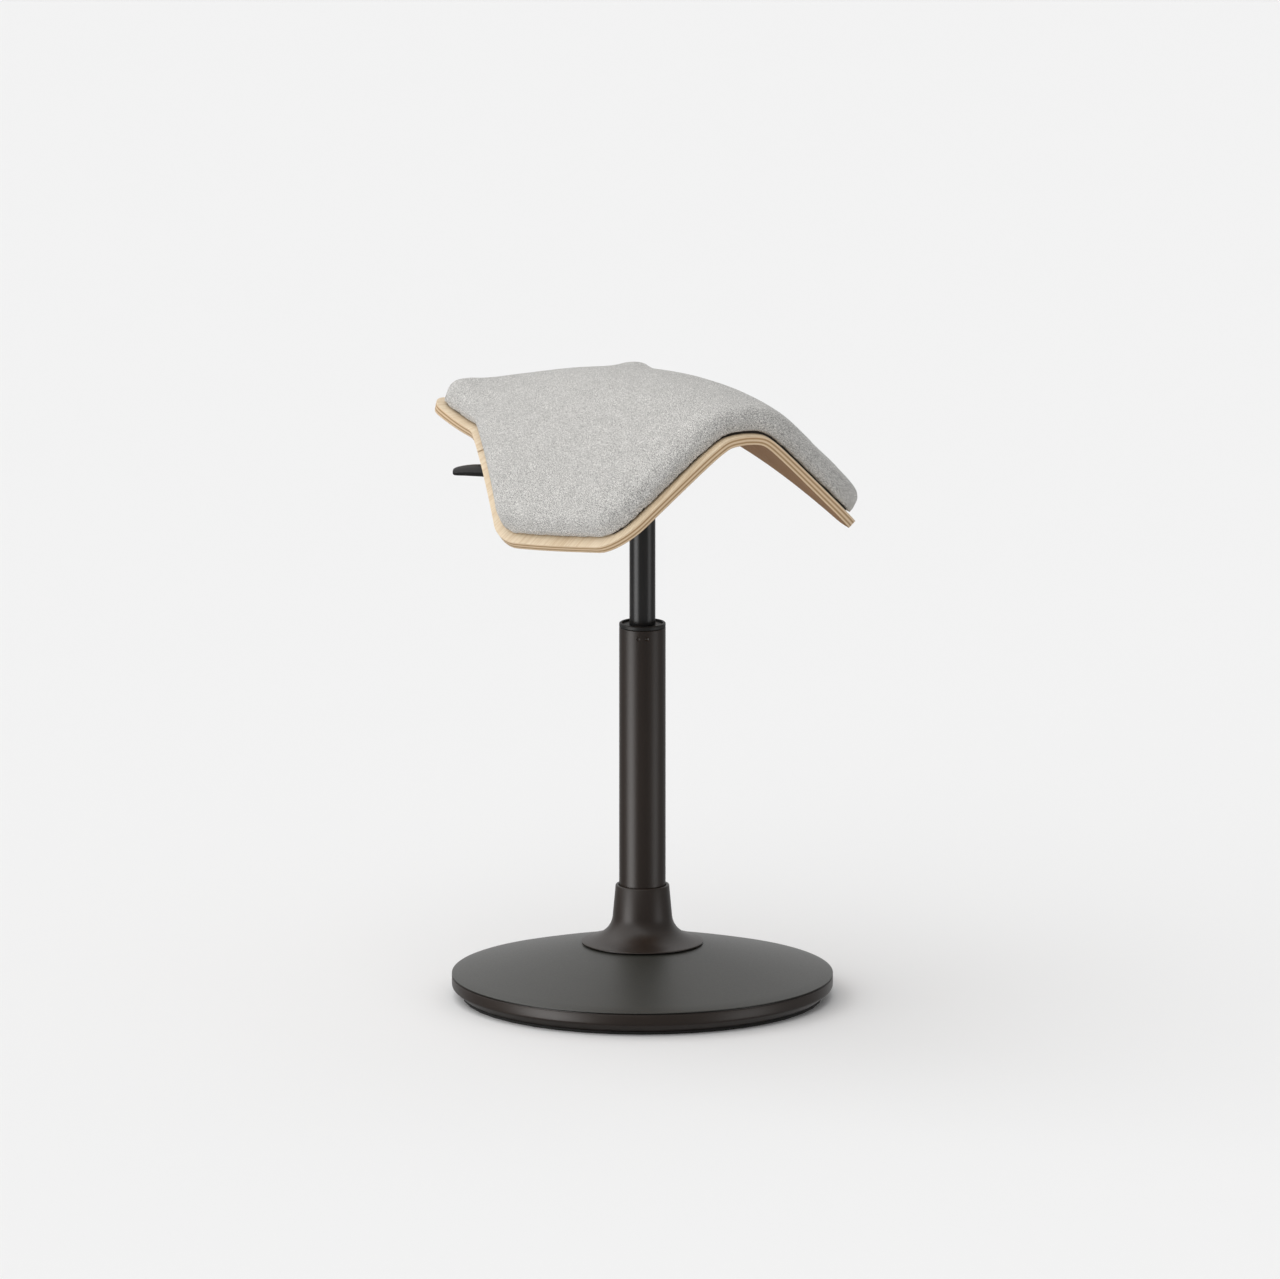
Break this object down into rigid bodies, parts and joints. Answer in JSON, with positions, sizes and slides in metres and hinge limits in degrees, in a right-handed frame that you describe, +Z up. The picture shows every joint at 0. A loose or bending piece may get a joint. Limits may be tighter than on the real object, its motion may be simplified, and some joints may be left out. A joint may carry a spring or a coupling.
{
  "type": "saddle stool",
  "caption": "Saddle stool with a moulded plywood seat, a fabric pad and a height lever, on a gas lift column and a weighted disc base.",
  "frame": {"origin": "on the floor, on the column's axis, at the middle of the floor pad's underside", "axes": "+Z up along the column, the sitter faces -Y, the height lever is on the -X side"},
  "size_m": [0.41, 0.5143, 0.6949],
  "materials": {
    "rubber": "matt",
    "black_powder_coat": "satin powder coat",
    "graphite_powder_coat": "fine textured powder coat",
    "ballast_steel": "raw",
    "zinc_steel": "zinc plated",
    "ground_steel": "ground",
    "brass": "plain",
    "black_plastic": "satin",
    "black_cylinder": "gloss black",
    "oak_ply": "clear lacquer",
    "birch_board": "raw",
    "foam": "cut foam",
    "grey_felted_fabric": "felted weave"
  },
  "bodies": {
    "base": {"floor_pad": "rubber", "base_pan": "black_powder_coat", "ballast_plate": "ballast_steel", "base_cover": "graphite_powder_coat", "pan_screw_1": "zinc_steel", "pan_screw_2": "zinc_steel", "pan_screw_3": "zinc_steel", "pan_screw_4": "zinc_steel", "hub_socket": "ballast_steel", "hub_bolt_1": "zinc_steel", "hub_bolt_2": "zinc_steel", "hub_bolt_3": "zinc_steel", "hub_bolt_4": "zinc_steel", "hub_collar": "black_powder_coat", "column_tube": "black_powder_coat", "guide_bush": "black_plastic", "thrust_washer_lower": "ground_steel"},
    "spindle": {"piston_rod": "ground_steel", "piston": "black_plastic", "ball_cage": "brass", "thrust_washer_upper": "ground_steel", "rubber_buffer": "rubber", "retaining_clip": "zinc_steel"},
    "seat": {"gas_cylinder": "black_cylinder", "rod_guide": "black_plastic", "taper_socket": "black_powder_coat", "mech_housing": "black_powder_coat", "mech_plate": "black_powder_coat", "saddle_block": "black_plastic", "mech_bolt_1": "zinc_steel", "mech_bolt_2": "zinc_steel", "mech_bolt_3": "zinc_steel", "mech_bolt_4": "zinc_steel", "threaded_insert_1": "brass", "threaded_insert_2": "brass", "threaded_insert_3": "brass", "threaded_insert_4": "brass", "lever_pin": "zinc_steel", "lever_pin_ring_1": "zinc_steel", "lever_pin_ring_2": "zinc_steel", "seat_shell": "oak_ply", "pad_board": "birch_board", "foam_core": "foam", "fabric_cover": "grey_felted_fabric", "pad_screw_1": "zinc_steel", "pad_screw_2": "zinc_steel", "pad_screw_3": "zinc_steel", "pad_screw_4": "zinc_steel", "pad_insert_1": "zinc_steel", "pad_insert_2": "zinc_steel", "pad_insert_3": "zinc_steel", "pad_insert_4": "zinc_steel"},
    "lever": {"lever_arm": "black_powder_coat", "lever_paddle": "black_plastic"},
    "valve": {"release_pin": "ground_steel"}
  },
  "joints": [
    {"name": "seat_swivel", "type": "hinge", "parent": "base", "child": "spindle", "pos_m": [0, 0, 0.034], "axis": [0, 0, 1], "continuous": true},
    {"name": "seat_height", "type": "slide", "parent": "spindle", "child": "seat", "axis": [0, 0, 1], "range_m": [-0.145, 0.02]},
    {"name": "lever_pull", "type": "hinge", "parent": "seat", "child": "lever", "pos_m": [-0.038, 0, 0.6063], "axis": [0, 1, 0], "range_deg": [0, 4.5], "stiffness_Nm_per_rad": 8},
    {"name": "valve_press", "type": "slide", "parent": "seat", "child": "valve", "axis": [0, 0, -1], "range_m": [0, 0.0032], "stiffness_N_per_m": 2000}
  ],
  "couplings": [
    {"joint": "valve_press", "follows": "lever_pull", "m_per_rad": 0.038}
  ]
}
